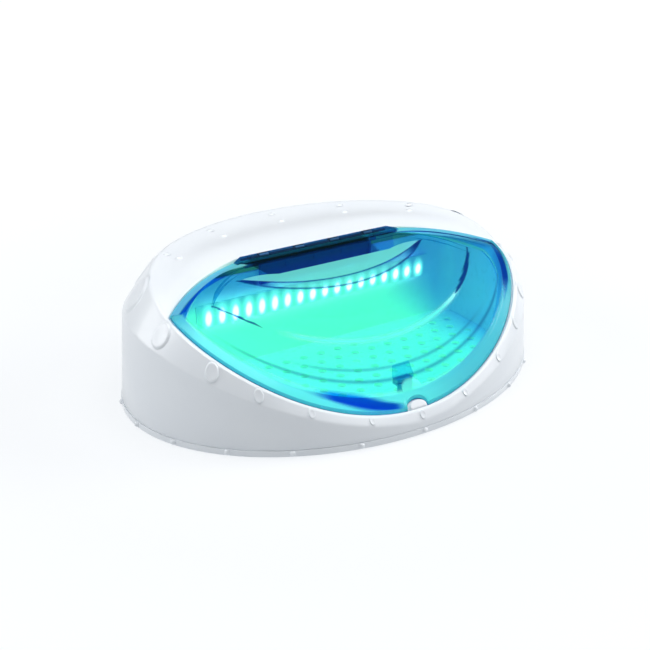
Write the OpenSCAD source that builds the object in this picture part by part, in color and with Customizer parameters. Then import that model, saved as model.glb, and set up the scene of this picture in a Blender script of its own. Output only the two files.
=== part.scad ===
// Phone sanitizer box: an oval moulded housing with a scooped rear deck, a stepped
// see-through lid hinged at the back, a lit chamber for the phone and a push button.
// Millimetres. X runs left to right, -Y is the front, +Z is up, and the origin lies
// under the middle of the object, on the surface that it stands on.

/* [Housing] */
// Length of the housing at its foot
body_l = 260; // [256:1:264]
// Depth of the housing at its foot
body_d = 192; // [190:1:196]
// Height of the crest at the back
crest_h = 79; // [78:0.5:80]
// Size of the crest's oval as a share of the foot's oval
crest_share = 0.81; // [0.8:0.005:0.82]
// Height of the upright wall at the front
wall_front_h = 8.6; // [8.4:0.1:9]
// How much higher the upright wall stands at the sides and the back
wall_rise = 46.5; // [45:0.5:47]
// How far the wall leans in, as a share of each millimetre of height
wall_lean = 0.0006; // [0.0005:0.0001:0.0007]
// Thickness of the moulded walls
skin = 2.6; // [2.4:0.1:2.8]
// Raised ovals on the sloped band
oval_count = 22; // [22:2:22]
// Beads around the foot
bead_count = 21; // [21:2:21]

/* [Lid] */
// Half the length of the lid, from its middle to a tip
lid_tip_x = 109.5; // [109:0.5:110]
// Where the tips lie, front to back
lid_tip_y = -15; // [-16:0.5:-14]
// Height of the lid's rim at its tips
lid_tip_z = 66; // [65:0.5:67]
// Where the lid's front edge lies
lid_front_y = -89; // [-89.5:0.5:-88.5]
// Height of the lid's rim at the front
lid_front_z = 15; // [14.5:0.5:15.5]
// Half the length of the straight hinge edge
hinge_half = 48; // [46:0.5:50]
// Where the hinge edge lies, front to back
hinge_edge_y = 18; // [17.5:0.5:18]
// Height of the rim at the hinge edge
hinge_edge_z = 77; // [76.5:0.5:77.5]
// Thickness of the lid
lid_t = 2.6; // [2.4:0.1:2.6]
// Gap between the lid and the housing around it
lid_gap = 1; // [0.9:0.1:1.1]
// Half the width of the notch in the lid's front edge
notch_r = 6.8; // [6.6:0.1:7]
// Depth of the notch as a share of half its width
notch_flat = 0.5; // [0.45:0.01:0.52]

/* [Chamber] */
// Half the length of the chamber
tub_tip_x = 102.5; // [102:0.5:102.5]
// Where the chamber's front wall lies
tub_front_y = -81.5; // [-81.5:0.5:-81]
// Where the chamber's back wall lies
tub_back_y = 19; // [19:0.5:20]
// Thickness of the chamber's walls
tub_t = 1.5; // [1.4:0.1:1.6]
// Height of the tray that the phone lies on
tray_z = 9; // [8.8:0.1:9.2]
// Lamps in the row
led_count = 18; // [16:1:18]
// Distance from lamp to lamp
led_pitch = 8.7; // [8.5:0.1:8.8]
// Height of the row of lamps
led_z = 46.5; // [45:0.5:48]

/* [Controls] */
// Half the width of the start button's tab
button_r = 5.4; // [5.2:0.1:5.5]
// Depth of the tab
tab_depth = 2.5; // [2.3:0.1:2.6]
// Radius of the lid switch's plunger
plunger_r = 1.5; // [1.4:0.1:1.6]

/* [Hidden] */

white = [0.95, 0.95, 0.97];
clear_blue = [0.2, 0.65, 0.85, 0.5];
steel = [0.72, 0.73, 0.75];
board_green = [0.1, 0.4, 0.25];
dark = [0.13, 0.14, 0.17];

half_l = body_l / 2;
half_d = body_d / 2;
base_z = 1;          // underside of the base plate
seam_z = 4.5;        // parting line between base and housing
floor_z = 3.4;       // floor of the base plate
tub_z = 5;           // underside of the chamber
tub_wide_y = -16;    // where the chamber is widest
board_z = 7.6;       // underside of the control board
land = lid_gap + 2;  // from the lid's rim to where the sloped band begins
lid_proud = 1.4;     // how far the lid's rim stands above the housing's edge
ledge_w = 8;         // ledge under the lid's rim
ledge_drop = 3.6;    // from the lid's rim down to the ledge
rim_quad = 33;       // share of the rim's rise that grows with the square
rim_line = lid_tip_z - lid_front_z - rim_quad;
tip_share = norm([(lid_tip_x + land) / half_l, lid_tip_y / half_d]);
tip_phi = atan2((lid_tip_x + land) / half_l, -lid_tip_y / half_d);
corner_phi = 140;    // angle of the wall point that faces a hinge corner
notch_y = lid_front_y + 0.3;
hinge_y = 16.4;      // axis of the hinge
hinge_z = 74.6;
barrel_r = 2.2;
pin_r = 0.9;
bore_r = 0.95;
strip_y = 13.5;      // front edge of the hinge strip
strip_half = 56.5;   // half length of the hinge strip's front edge
knuckle_xs = [-36, -12, 12, 36];
knuckle_w = 6;
button_y = lid_front_y - 0.4;
spring_y = -86.6;    // axis of the start button's spring and switch
plunger_x = 24;
plunger_y = -83.5;
inlet_z = 15;
inlet_out = 97.5;    // face of the inlet's ring, as far back as the front bead is forward
front_screws = [70, -74];
side_screws = [113, 22];
rear_screws = [52, 60];
screw_places = [for (p = [front_screws, side_screws, rear_screws], s = [-1, 1]) [s * p.x, p.y]];
screw_tops = [27, 27, 63, 63, 76.3, 76.3];
board_screw_places = [for (x = [-40, 40], y = [34, 68]) [x, y]];
foot_places = [for (x = [-85, 85], y = [-42, 42]) [x, y]];
tub_post_places = [for (x = [-60, 60], y = [-30, 8]) [x, y]];
hinge_screw_xs = [-24, 24];
hinge_screw_y = 30;
wall_base_inset = 7.4;  // from the foot's outline to the hollow of the base

// ---- Shared shapes -------------------------------------------------------------

function lerp(a, b, t) = a + (b - a) * t;
function unit(v) = v / max(norm(v), 0.001);
function bend(p, c, q, t) = lerp(lerp(p, c, t), lerp(c, q, t), t);
function foot_outline(inset, n = 120) = [for (i = [0:n - 1]) let (a = 360 * i / n)
    [(half_l - inset) * cos(a), (half_d - inset) * sin(a)]];

// Height of the lid's rim where its front-to-back place is y
function rim_z(y) = let (c = (lid_tip_y - y) / (lid_tip_y - lid_front_y))
    y < lid_tip_y ? lid_tip_z - rim_quad * c * c - rim_line * c
    : lerp(lid_tip_z, hinge_edge_z, (y - lid_tip_y) / (hinge_edge_y - lid_tip_y));
function rim_tilt(y) = atan(rim_z(y + 0.5) - rim_z(y - 0.5));

// Stations around the opening, from the front middle along the right side to the back.
// Each is [side, stretch, place]: stretch 0 is the front arc and its place an angle from
// the front, stretch 1 runs from tip to hinge corner, and stretch 2 along the hinge edge.
notch_steps = 5;
front_steps = 17;
side_steps = 9;
back_steps = 5;
notch_angle = asin(notch_r / lid_tip_x);
half_ring = concat(
    [for (i = [0:notch_steps]) [1, 0, asin(sin(notch_angle) * sin(90 * i / notch_steps))]],
    [for (i = [1:front_steps]) [1, 0, lerp(notch_angle, 90, i / front_steps)]],
    [for (i = [1:side_steps]) [1, 1, i / side_steps]],
    [for (i = [1:back_steps]) [1, 2, i / back_steps]]
);
half_count = len(half_ring);
ring = concat(half_ring, [for (i = [half_count - 2:-1:1]) [-1, half_ring[i][1], half_ring[i][2]]]);
ring_count = len(ring);

// A point of a leaf-shaped outline, on the right-hand side
function leaf(st, tip, front_y, corner, bulge) = let (t = st[2])
    st[1] == 0 ? [tip.x * sin(t), tip.y - (tip.y - front_y) * cos(t)]
    : st[1] == 1 ? lerp(tip, corner, t)
        + unit([corner.y - tip.y, tip.x - corner.x]) * 4 * bulge * t * (1 - t)
    : [corner.x * (1 - t), corner.y];

// ---- Housing -------------------------------------------------------------------

function wall_z(phi) = wall_front_h + wall_rise * pow(sin(min(90, 0.912 * phi)), 1.62);
function wall_point(phi, z, inset = 0) = let (k = 1 - wall_lean * z)
    [(half_l * k - inset) * sin(phi), -(half_d * k - inset) * cos(phi), z];
function crest_point(phi) = let (u = (1 + cos(phi)) / (1 + cos(tip_phi)),
        k = lerp(crest_share, tip_share, u * u),
        rim_side_z = lid_tip_z - lid_proud - 0.2)
    [k * half_l * sin(phi), -k * half_d * cos(phi), crest_h - (crest_h - rim_side_z) * pow(u, 3.6)];
function station_phi(st) = st[1] == 0 ? tip_phi * st[2] / 90
    : st[1] == 1 ? lerp(tip_phi, corner_phi, st[2]) : lerp(corner_phi, 180, st[2]);

// The lid's rim, and the housing's edge around it
function rim_point(st) = leaf(st, [lid_tip_x, lid_tip_y], lid_front_y, [hinge_half, hinge_edge_y], 5.5);
function edge_point(st) = let (
        p = leaf(st, [lid_tip_x + lid_gap, lid_tip_y], lid_front_y - lid_gap,
            [hinge_half + 0.6, hinge_edge_y + lid_gap], 5.5))
    [p.x, p.y, rim_z(rim_point(st).y) - lid_proud];

// Where the sloped band ends: a narrow land in front, the crest of the hood behind
function band_top(st) = let (
        p = leaf(st, [lid_tip_x + land, lid_tip_y], lid_front_y - land, [0, 0], 0))
    st[1] == 0 ? [p.x, p.y, rim_z(rim_point(st).y) - lid_proud - 0.2] : crest_point(station_phi(st));

// The hood's deck between the housing's edge (s = 0) and the crest (s = 1): a soft ridge,
// then a shallow hollow
function deck_relief(width, s) = 0.03 * max(0, width - 2) * (0.4 * sin(180 * s) + sin(360 * s));
function deck_point(st, s) = let (e = edge_point(st), c = band_top(st))
    lerp(e, c, s) + [0, 0, deck_relief(norm(c - e), s)];

// How far along the stretch from tip to hinge the ledge has faded out
function ledge_fade(st) = st[1] == 0 ? 0 : st[1] == 1 ? st[2] : 1;
function ledge_point(st) = let (f = ledge_fade(st),
        p = leaf(st, [lid_tip_x - ledge_w, lid_tip_y - 1], lid_front_y + ledge_w,
            [hinge_half + 0.5, hinge_edge_y + 1.2], 5.5))
    [p.x, p.y, rim_z(p.y) - ledge_drop - 1.2 * f];

function housing_section(st) = let (
        phi = station_phi(st),
        wz = wall_z(phi),
        w = wall_point(phi, wz),
        c = band_top(st),
        e = edge_point(st),
        up = unit(c - w),
        wide = norm(c - e),
        r = min(2.5, 0.4 * wide),
        s_top = 1 - r / wide,
        band_in = w + 3 * up,
        band_out = c - min(r, 1.5) * up,
        f = ledge_fade(st),
        l = ledge_point(st),
        under_e = lerp(rim_z(rim_point(st).y) - ledge_drop - 1.8, e.z - skin, f))
    [
        wall_point(phi, seam_z),
        wall_point(phi, wz - 3),
        bend(wall_point(phi, wz - 3), w, band_in, 0.5),
        band_in,
        lerp(band_in, band_out, 0.5) + [0, 0, 0.035 * norm(band_out - band_in)],
        band_out,
        bend(band_out, c, deck_point(st, s_top), 0.5),
        deck_point(st, s_top),
        deck_point(st, 0.8 * s_top),
        deck_point(st, 0.6 * s_top),
        deck_point(st, 0.4 * s_top),
        deck_point(st, 0.2 * s_top),
        e,
        [e.x, e.y, lerp(rim_z(rim_point(st).y) - ledge_drop, e.z - 2.2, f)],
        l,
        l + [0, 0.8 * f, lerp(-1.8, -0.6, f)],
        [e.x, e.y + 2.6 * f, under_e],
        deck_point(st, 0.5) - [0, 0, skin + 0.1],
        lerp(c, e, min(0.3, 1.5 / wide)) - [0, 0, 3],
        wall_point(phi, wz - 2.2, skin + 0.4),
        wall_point(phi, seam_z, skin)
    ];

module housing_shell() {
    sections = [for (st = ring) [for (p = housing_section(st)) [st[0] * p.x, p.y, p.z]]];
    n = len(sections[0]);
    polyhedron(
        [for (s = sections, p = s) p],
        [for (i = [0:ring_count - 1], j = [0:n - 1], half = [0, 1])
            let (k = (i + 1) % ring_count, m = (j + 1) % n)
            half == 0 ? [i * n + j, i * n + m, k * n + m] : [i * n + j, k * n + m, k * n + j]],
        convexity = 6);
}

// A low rounded bump, w across and l along, standing h above the surface
module bump(w, l, h) {
    hull() {
        translate([0, 0, -1]) scale([w, l, 1]) cylinder(d = 1, h = 1, $fn = 16);
        scale([0.86 * w, 0.9 * l, 1]) cylinder(d = 1, h = 0.7 * h, $fn = 16);
        scale([0.6 * w, 0.7 * l, 1]) cylinder(d = 1, h = h, $fn = 16);
    }
}

// Stands its children at p with their Z along the normal and their Y along the slope
module on_surface(p, slope, around) {
    y = unit(slope);
    z = unit(cross(around, slope));
    x = cross(y, z);
    multmatrix([[x.x, y.x, z.x, p.x], [x.y, y.y, z.y, p.y], [x.z, y.z, z.z, p.z], [0, 0, 0, 1]])
        children();
}

function band_at(phi) = phi < tip_phi ? band_top([1, 0, 90 * phi / tip_phi]) : crest_point(phi);
function around_at(phi) = band_at(min(phi, 179) + 1) - band_at(min(phi, 179));

// Angle of the k-th oval, so that they lie evenly spaced along the oval foot
function oval_phi(k) = let (t = 360 * k / oval_count) t - 4.3 * sin(2 * t);

module band_oval(phi) {
    w = wall_point(phi, wall_z(phi));
    c = band_at(phi);
    l = norm(c - w);
    on_surface(lerp(w, c, 0.52) + [0, 0, 0.03 * l], c - w, around_at(phi))
        bump(max(2.4, 0.42 * l), 0.7 * l, 0.4 + 0.035 * l);
}

module deck_bump(st, s) {
    p = deck_point(st, s);
    translate(p - [0, 0, 0.1]) bump(4, 3.2, 0.8);
}

module both_sides() {
    children();
    mirror([1, 0, 0]) children();
}

module outer_housing() {
    color(white) difference() {
        union() {
            housing_shell();
            band_oval(0.01);
            band_oval(179.9);
            both_sides() {
                for (k = [1:oval_count / 2 - 1]) band_oval(oval_phi(k));
                for (s = [0.66, 0.88]) {
                    deck_bump([1, 1, 0.74], s);
                    deck_bump([1, 2, 0.32], s);
                }
            }
            for (s = [0.66, 0.88]) deck_bump([1, 2, 1], s);
            for (i = [0:len(screw_places) - 1])
                translate([screw_places[i].x, screw_places[i].y, seam_z + 0.3])
                    cylinder(d = 6.4, h = screw_tops[i] - seam_z - 0.3, $fn = 28);
            for (x = hinge_screw_xs) translate([x, hinge_screw_y, 70.2])
                cylinder(d = 6, h = 6.2, $fn = 28);
        }
        for (p = screw_places) translate([p.x, p.y, 0]) cylinder(r = 1.52, h = 18, $fn = 24);
        for (x = hinge_screw_xs) translate([x, hinge_screw_y, 66]) cylinder(r = 1.3, h = 9, $fn = 24);
        translate([0, 0, 5]) linear_extrude(22) tab_outline(0.45);
        translate([plunger_x, plunger_y, 5]) cylinder(r = plunger_r + 0.4, h = 20, $fn = 28);
        translate([0, half_d, inlet_z]) rotate([90, 0, 0])
            cylinder(d = 9.4, h = 12, center = true, $fn = 40);
    }
}

// ---- Base ----------------------------------------------------------------------

module base_plate() {
    color(white) difference() {
        union() {
            translate([0, 0, base_z]) linear_extrude(seam_z - base_z) polygon(foot_outline(0));
            translate([0, 0, seam_z - 0.5]) linear_extrude(3.5) difference() {
                polygon(foot_outline(wall_base_inset - 1.8));
                polygon(foot_outline(wall_base_inset));
            }
            for (i = [0:bead_count - 1]) let (phi = 360 * i / bead_count)
                translate([(half_l - 0.2) * sin(phi), -(half_d - 0.2) * cos(phi), 2.8])
                    sphere(r = 1.7, $fn = 24);
            for (p = board_screw_places) translate([p.x, p.y, base_z])
                cylinder(d = 6, h = board_z - base_z, $fn = 32);
        }
        translate([0, 0, floor_z]) linear_extrude(8) difference() {
            polygon(foot_outline(wall_base_inset));
            for (p = screw_places) translate(p) circle(d = 8, $fn = 32);
            for (p = board_screw_places) translate(p) circle(d = 6, $fn = 32);
            for (p = tub_post_places) translate(p) circle(d = 8, $fn = 32);
            button_mount_outline();
            switch_mount_outline();
        }
        for (p = screw_places) translate([p.x, p.y, 0]) {
            cylinder(r = 1.7, h = 12, $fn = 32);
            cylinder(r = 3.2, h = 2.6, $fn = 32);
            translate([0, 0, seam_z]) cylinder(r = 5, h = 8, $fn = 32);
        }
        for (p = board_screw_places) translate([p.x, p.y, 2.2]) cylinder(r = 1.25, h = 8, $fn = 24);
        for (p = tub_post_places) translate([p.x, p.y, tub_z]) cylinder(r = 5, h = 8, $fn = 32);
        translate([0, 0, floor_z + 0.4]) linear_extrude(8) {
            button_mount_outline();
            switch_mount_outline();
        }
        for (p = foot_places) translate([p.x, p.y, 0]) cylinder(r = 7.1, h = 2.4, $fn = 48);
    }
}

module button_mount_outline() {
    translate([0, spring_y]) square([16, 9], center = true);
}

module switch_mount_outline() {
    translate([plunger_x, plunger_y]) square([12.8, 5.6], center = true);
}

module rubber_feet() {
    color(dark) for (p = foot_places) translate([p.x, p.y, 0]) difference() {
        union() {
            cylinder(r1 = 6.4, r2 = 7, h = 0.9, $fn = 48);
            translate([0, 0, 0.9]) cylinder(r = 7, h = 1.5, $fn = 48);
        }
        translate([0, 0, -0.1]) cylinder(r = 3, h = 0.7, $fn = 32);
    }
}

// A screw standing head down at the origin, its shank pointing up
module screw(head_r, head_h, shank_r, length) {
    difference() {
        union() {
            cylinder(r = head_r, h = head_h, $fn = 32);
            cylinder(r = shank_r, h = head_h + length, $fn = 28);
        }
        for (a = [0, 90]) rotate(a) translate([-head_r * 0.6, -0.35, -0.1])
            cube([head_r * 1.2, 0.7, head_h * 0.55]);
    }
}

module base_screws() {
    color(steel) for (p = screw_places) translate([p.x, p.y, 0.8]) screw(2.9, 1.8, 1.45, 13);
}

// ---- Chamber -------------------------------------------------------------------

// Outline of the chamber, inset by t: a front arc, straight sides and a back wall
function tub_outline(t) = let (
        a = tub_tip_x - t,
        front = tub_wide_y - tub_front_y - t,
        back = tub_back_y - t,
        r = 10)
    concat(
        [for (i = [-24:24]) let (th = 90 * i / 24) [a * sin(th), tub_wide_y - front * cos(th)]],
        [for (i = [0:5]) let (g = 90 * i / 5) [a - r + r * cos(g), back - r + r * sin(g)]],
        [for (i = [0:5]) let (g = 90 + 90 * i / 5) [r - a + r * cos(g), back - r + r * sin(g)]]
    );

// Height of the chamber's wall: under the housing's ledge, and level beneath the hood
function tub_top(y) = min(66, rim_z(y) - ledge_drop - 2.1);

module chamber_tub() {
    ys = concat([-90], [for (y = [-84:6:-6]) y], [0, 30]);
    color([0.9, 0.95, 0.97]) difference() {
        intersection() {
            translate([0, 0, tub_z]) linear_extrude(70) polygon(tub_outline(0));
            rotate([90, 0, 90]) linear_extrude(240, center = true)
                polygon(concat([for (y = ys) [y, tub_top(y)]], [[30, 0], [-90, 0]]));
        }
        translate([0, 0, tub_z + tub_t]) linear_extrude(80) polygon(tub_outline(tub_t));
    }
}

// Whether a hole of the tray lies well inside its outline
function in_tray(x, y, margin) = let (
        a = tub_tip_x - margin,
        b = tub_wide_y - tub_front_y - margin,
        in_oval = pow(x / a, 2) + pow((y - tub_wide_y) / b, 2) < 1)
    y < tub_back_y - margin && (y > tub_wide_y ? abs(x) < a - 4 : in_oval);

module phone_tray() {
    color([0.85, 0.93, 0.95]) {
        translate([0, 0, tray_z]) linear_extrude(1.5) difference() {
            polygon(tub_outline(tub_t + 0.5));
            for (row = [0:8], col = [-8:8])
                let (x = 12 * (col + (row % 2) / 2), y = -72 + 10.5 * row)
                if (in_tray(x, y, 8)) translate([x, y]) circle(d = 5, $fn = 24);
        }
        for (x = [-84, 0, 84], y = [-18, 8])
            translate([x + 6, y, tub_z + tub_t]) cylinder(d = 5, h = tray_z - tub_z - tub_t, $fn = 24);
    }
}

led_wall_y = tub_back_y - tub_t;

module led_board() {
    color([0.9, 0.9, 0.88]) difference() {
        translate([-80, led_wall_y - 1.6, led_z - 5]) cube([160, 1.6, 10]);
        for (x = [-77.5, 77.5]) translate([x, led_wall_y, led_z]) rotate([90, 0, 0])
            cylinder(d = 2.4, h = 6, center = true, $fn = 24);
    }
}

module leds() {
    color([0.8, 1, 0.98]) for (i = [0:led_count - 1])
        translate([(i - (led_count - 1) / 2) * led_pitch, led_wall_y - 1.6, led_z]) {
            translate([-2.5, -1.2, -2.5]) cube([5, 1.2, 5]);
            rotate([90, 0, 0]) translate([0, 0, 1.2]) cylinder(r1 = 2, r2 = 1.7, h = 0.25, $fn = 24);
        }
}

module led_lens() {
    color(clear_blue) {
        translate([-81, led_wall_y - 4.6, led_z - 7]) cube([162, 1, 14]);
        for (z = [-7, 6]) translate([-81, led_wall_y - 3.6, led_z + z]) cube([162, 3.6, 1]);
    }
}

// ---- Hinge ---------------------------------------------------------------------

// A low box on the back wall under the hinge: a frame round a sunk panel, with three clips
module hinge_cover() {
    color([0.1, 0.2, 0.45]) translate([0, led_wall_y, 0]) {
        difference() {
            translate([-38.5, -2.4, 57.5]) cube([77, 2.4, 12.5]);
            translate([-37, -2.5, 59]) cube([74, 1.1, 9.5]);
        }
        for (x = [-19.5, 0, 19.5]) translate([x - 2, -2.2, 66]) cube([4, 2.2, 3]);
    }
}

// Lays its children, made along Z, on the axis of the hinge
module on_hinge_axis() {
    translate([0, hinge_y, hinge_z]) rotate([0, 90, 0]) children();
}

module hinge_bracket() {
    color(steel) difference() {
        union() {
            translate([-46, 20.4, 67.4]) cube([92, 14, 2.6]);
            for (x = knuckle_xs) translate([x - knuckle_w / 2, 0, 0]) {
                rotate([90, 0, 90]) linear_extrude(knuckle_w) polygon([
                    [hinge_y - 1.9, hinge_z - 1], [hinge_y, hinge_z - 2.6], [hinge_y + 1.4, 69.4],
                    [20.4, 67.4], [23, 67.4], [23, 70], [19.4, 71.6], [hinge_y + 1.8, hinge_z - 1.2]]);
                on_hinge_axis() cylinder(r = barrel_r, h = knuckle_w, $fn = 40);
            }
        }
        on_hinge_axis() cylinder(r = bore_r, h = 120, center = true, $fn = 32);
        for (x = hinge_screw_xs) translate([x, hinge_screw_y, 60]) cylinder(r = 1.6, h = 20, $fn = 28);
    }
}

module hinge_screws() {
    color(steel) for (x = hinge_screw_xs) translate([x, hinge_screw_y, 65.8]) screw(2.6, 1.6, 1.25, 7);
}

module hinge_pin() {
    color(steel) on_hinge_axis() cylinder(r = pin_r, h = 88, center = true, $fn = 32);
}

// ---- Lid -----------------------------------------------------------------------

// Rings of the lid from its rim to its middle: tip x, tip y, front y, corner x, corner y,
// bulge between tip and corner, height above the rim in front and at the back, and how far
// the ring clears the notch. Pairs of rings make the pressed steps: the flange's, two arcs
// near the front, the long arc and the crescent by the hinge.
lid_rings = [
    [lid_tip_x, lid_tip_y, lid_front_y, strip_half, strip_y, 4.3, 0, 0, 0],
    [104.1, -16, -85.4, 54.6, 10.2, 4.2, 0.2, 0.2, 2.6],
    [102.1, -16.5, -83.8, 53.8, 9.6, 4.2, 1.3, 1.3, 5],
    [100.9, -16.4, -78.9, 53.4, 9.3, 4.1, 1.5, 1.5, 0],
    [100.2, -16.2, -77.7, 53.2, 9.1, 4.1, 2.3, 1.5, 0],
    [98.8, -15.6, -74.3, 52.6, 8.9, 4, 2.3, 1.5, 0],
    [97.9, -15.2, -73.1, 52.3, 8.7, 4, 3, 1.5, 0],
    [89.5, -11, -60, 50.5, 8, 4, 2.7, 1.3, 0],
    [88, -10.4, -58.6, 50, 7.8, 4, 3.5, 1.3, 0],
    [80, -5.6, -46, 48, 7, 3.5, 2.9, 1.1, 0],
    [72, -1, -33.5, 46, 4.6, 3.5, 2.1, 0.9, 0],
    [64.5, 2.6, -21.4, 43, 0.6, 1.5, 1.2, 0.9, 0],
    [63, 2.8, -20, 42, -0.1, 1.5, 2, 1.7, 0],
    [40, -3.5, -13, 30, -3, 0.2, 2, 1.7, 0]
];
lid_middle_y = -8;

// A ring's height: the one behind, and along the front arc a rise to the one in front
function ring_height(st, r) = lerp(r[7], r[6], st[1] == 0 ? 1 - pow(1 - cos(st[2]), 3) : 0);

function lid_point(st, r) = let (
        p = leaf(st, [r[0], r[1]], r[2], [r[3], r[4]], r[5]),
        reach = notch_r + r[8],
        cut = st[1] == 0 && abs(p.x) < reach,
        y = cut ? max(p.y, notch_y + notch_flat * sqrt(reach * reach - p.x * p.x)) : p.y)
    [st[0] * p.x, y, rim_z(y) + ring_height(st, r)];

module lid() {
    n = ring_count;
    rings = len(lid_rings);
    top = [for (r = lid_rings, st = ring) lid_point(st, r)];
    centre = [0, lid_middle_y, rim_z(lid_middle_y) + 1.9];
    under = [for (p = top) p - [0, 0, lid_t]];
    c_top = 2 * n * rings;
    color(clear_blue) polyhedron(
        concat(top, under, [centre, centre - [0, 0, lid_t]]),
        concat(
            [for (r = [0:rings - 2], i = [0:n - 1], face = [0:3])
                let (k = (i + 1) % n, a = r * n + i, b = r * n + k, c = a + n, d = b + n, u = n * rings)
                face == 0 ? [a, c, d] : face == 1 ? [a, d, b]
                    : face == 2 ? [u + a, u + d, u + c] : [u + a, u + b, u + d]],
            [for (i = [0:n - 1], face = [0:3])
                let (k = (i + 1) % n, last = (rings - 1) * n, u = n * rings)
                face == 0 ? [last + i, c_top, last + k]
                    : face == 1 ? [u + last + k, c_top + 1, u + last + i]
                    : face == 2 ? [u + i, i, k] : [u + i, k, u + k]]
        ),
        convexity = 6);
}

// The thickened edge of the lid that holds the pin
module lid_hinge_strip() {
    color(clear_blue) difference() {
        intersection() {
            union() {
                rotate([90, 0, 90]) linear_extrude(2 * strip_half, center = true) polygon([
                    [strip_y, rim_z(strip_y)], [17, rim_z(17)], [17.8, 75.9],
                    [17.8, 73.5], [17, rim_z(17) - lid_t], [strip_y, rim_z(strip_y) - lid_t]]);
                on_hinge_axis() cylinder(r = barrel_r, h = 90, center = true, $fn = 40);
            }
            linear_extrude(100) polygon([
                [-strip_half, strip_y], [strip_half, strip_y],
                [hinge_half - 0.5, 19], [0.5 - hinge_half, 19]]);
        }
        for (x = knuckle_xs) translate([x - knuckle_w / 2 - 0.4, strip_y + 0.1, 65])
            cube([knuckle_w + 0.8, 8, 20]);
        on_hinge_axis() cylinder(r = bore_r, h = 120, center = true, $fn = 32);
    }
}

magnet_y = -74;
magnet_z = 23.5;
bumper_in = 3.9;       // from the lid's rim to the middle of a bumper

// A point under the lid's shell where the shell stands h above the rim
function under_lid(y, h) = [y, rim_z(y) + h - lid_t - 0.15];

// The tongue under the lid that carries the magnet, its top cut to the lid's slope
module lid_catch() {
    color(clear_blue) rotate([90, 0, 90]) linear_extrude(11, center = true) polygon([
        [magnet_y - 2.5, magnet_z + 2], [magnet_y + 2.5, magnet_z + 2],
        under_lid(magnet_y + 2.5, 2.9), under_lid(magnet_y + 1, 3),
        under_lid(magnet_y - 0.5, 2.3), under_lid(magnet_y - 2.5, 2.3)]);
}

module lid_magnet() {
    color(steel) translate([-5, magnet_y - 2.2, magnet_z]) cube([10, 4.4, 2]);
}

module catch_plate() {
    color(steel) {
        translate([-5, magnet_y - 2.8, magnet_z - 1.6]) cube([10, 5.2, 1.2]);
        translate([-5, magnet_y - 2.8, tray_z + 1.5]) cube([10, 1, magnet_z - 1.6 - tray_z - 1.5]);
        translate([-5, magnet_y - 2.8, tray_z + 1.5]) cube([10, 5.2, 1]);
    }
}

module lid_bumpers() {
    color([0.85, 0.85, 0.88]) for (side = [-1, 1], th = [28, 62]) let (
            x = (lid_tip_x - bumper_in) * sin(th),
            y = lid_tip_y - (lid_tip_y - lid_front_y - bumper_in) * cos(th))
        translate([side * x, y, rim_z(y) - lid_t]) rotate([rim_tilt(y), 0, 0])
            translate([0, 0, -0.4]) cylinder(d = 3.4, h = 0.4, $fn = 28);
}

// ---- Button and switches -------------------------------------------------------

// Half-oval outline of the button's tab, grown by g
module tab_outline(g) {
    half_oval(button_r + g, tab_depth + g, 0.8 + g);
}

// Half-oval a wide and b deep behind the button's middle line, reaching front before it
module half_oval(a, b, front) {
    translate([0, button_y]) intersection() {
        scale([a, b]) circle(r = 1, $fn = 64);
        translate([-a, -front]) square([2 * a, front + b]);
    }
}

// The tab stands on a flange that the spring pushes up; the flange's hollow takes the
// spring's end and presses on the switch
module start_button() {
    color(white) {
        difference() {
            translate([0, 0, 8]) linear_extrude(1.2) half_oval(7.3, 7.3, 1.8);
            translate([0, spring_y, 7.9]) cylinder(r = 3.4, h = 0.55, $fn = 40);
        }
        difference() {
            translate([0, 0, 9]) linear_extrude(12) tab_outline(0);
            translate([-button_r - 1, button_y - 0.8, 14.6]) rotate([42, 0, 0]) translate([0, -10, 0])
                cube([2 * button_r + 2, 30, 20]);
        }
    }
}

// A wire along a helix with flattened ends
module helix(r, wire, z0, z1, turns, steps = 14, sides = 5) {
    n = turns * steps;
    climb = function(t) let (s = (t - 0.12) / 0.76) lerp(z0, z1, max(0, min(1, s)));
    pts = [for (i = [0:n], j = [0:sides - 1])
        let (a = 360 * i / steps, b = 360 * j / sides, rr = r + wire * cos(b))
        [rr * cos(a), rr * sin(a), climb(i / n) + wire * sin(b)]];
    polyhedron(pts, concat(
        [for (i = [0:n - 1], j = [0:sides - 1], half = [0, 1])
            let (k = (j + 1) % sides, a = i * sides + j, b = i * sides + k)
            half == 0 ? [a, b, b + sides] : [a, b + sides, a + sides]],
        [for (j = [1:sides - 2]) [0, j + 1, j]],
        [for (j = [1:sides - 2]) [n * sides, n * sides + j, n * sides + j + 1]]));
}

module button_spring() {
    color(steel) translate([0, spring_y, 0]) helix(4, 0.2, 5.2, 7.75, 3);
}

module button_board() {
    color(board_green) translate([-7.5, -90.6, floor_z + 0.4]) cube([15, 8, 1.2]);
}

module button_switch() {
    color(dark) translate([0, spring_y, 5]) {
        translate([-2.6, -2.6, 0]) cube([5.2, 5.2, 1.4]);
        cylinder(r = 1.2, h = 2.1, $fn = 28);
    }
}

plunger_top = rim_z(plunger_y - plunger_r) - lid_t - 0.25;

module lid_switch_plunger() {
    color(white) translate([plunger_x, plunger_y, 0]) {
        translate([0, 0, 8.4]) cylinder(r = 1.3, h = 3, $fn = 28);
        translate([0, 0, 11]) cylinder(r = plunger_r + 1, h = 1, $fn = 32);
        translate([0, 0, 11.8]) cylinder(r = plunger_r, h = plunger_top - 12.4, $fn = 32);
        translate([0, 0, plunger_top - 0.6])
            cylinder(r1 = plunger_r, r2 = plunger_r - 0.5, h = 0.6, $fn = 32);
    }
}

module lid_switch_spring() {
    color(steel) translate([plunger_x, plunger_y, 0]) helix(2.1, 0.2, 6.82, 10.78, 5);
}

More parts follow.
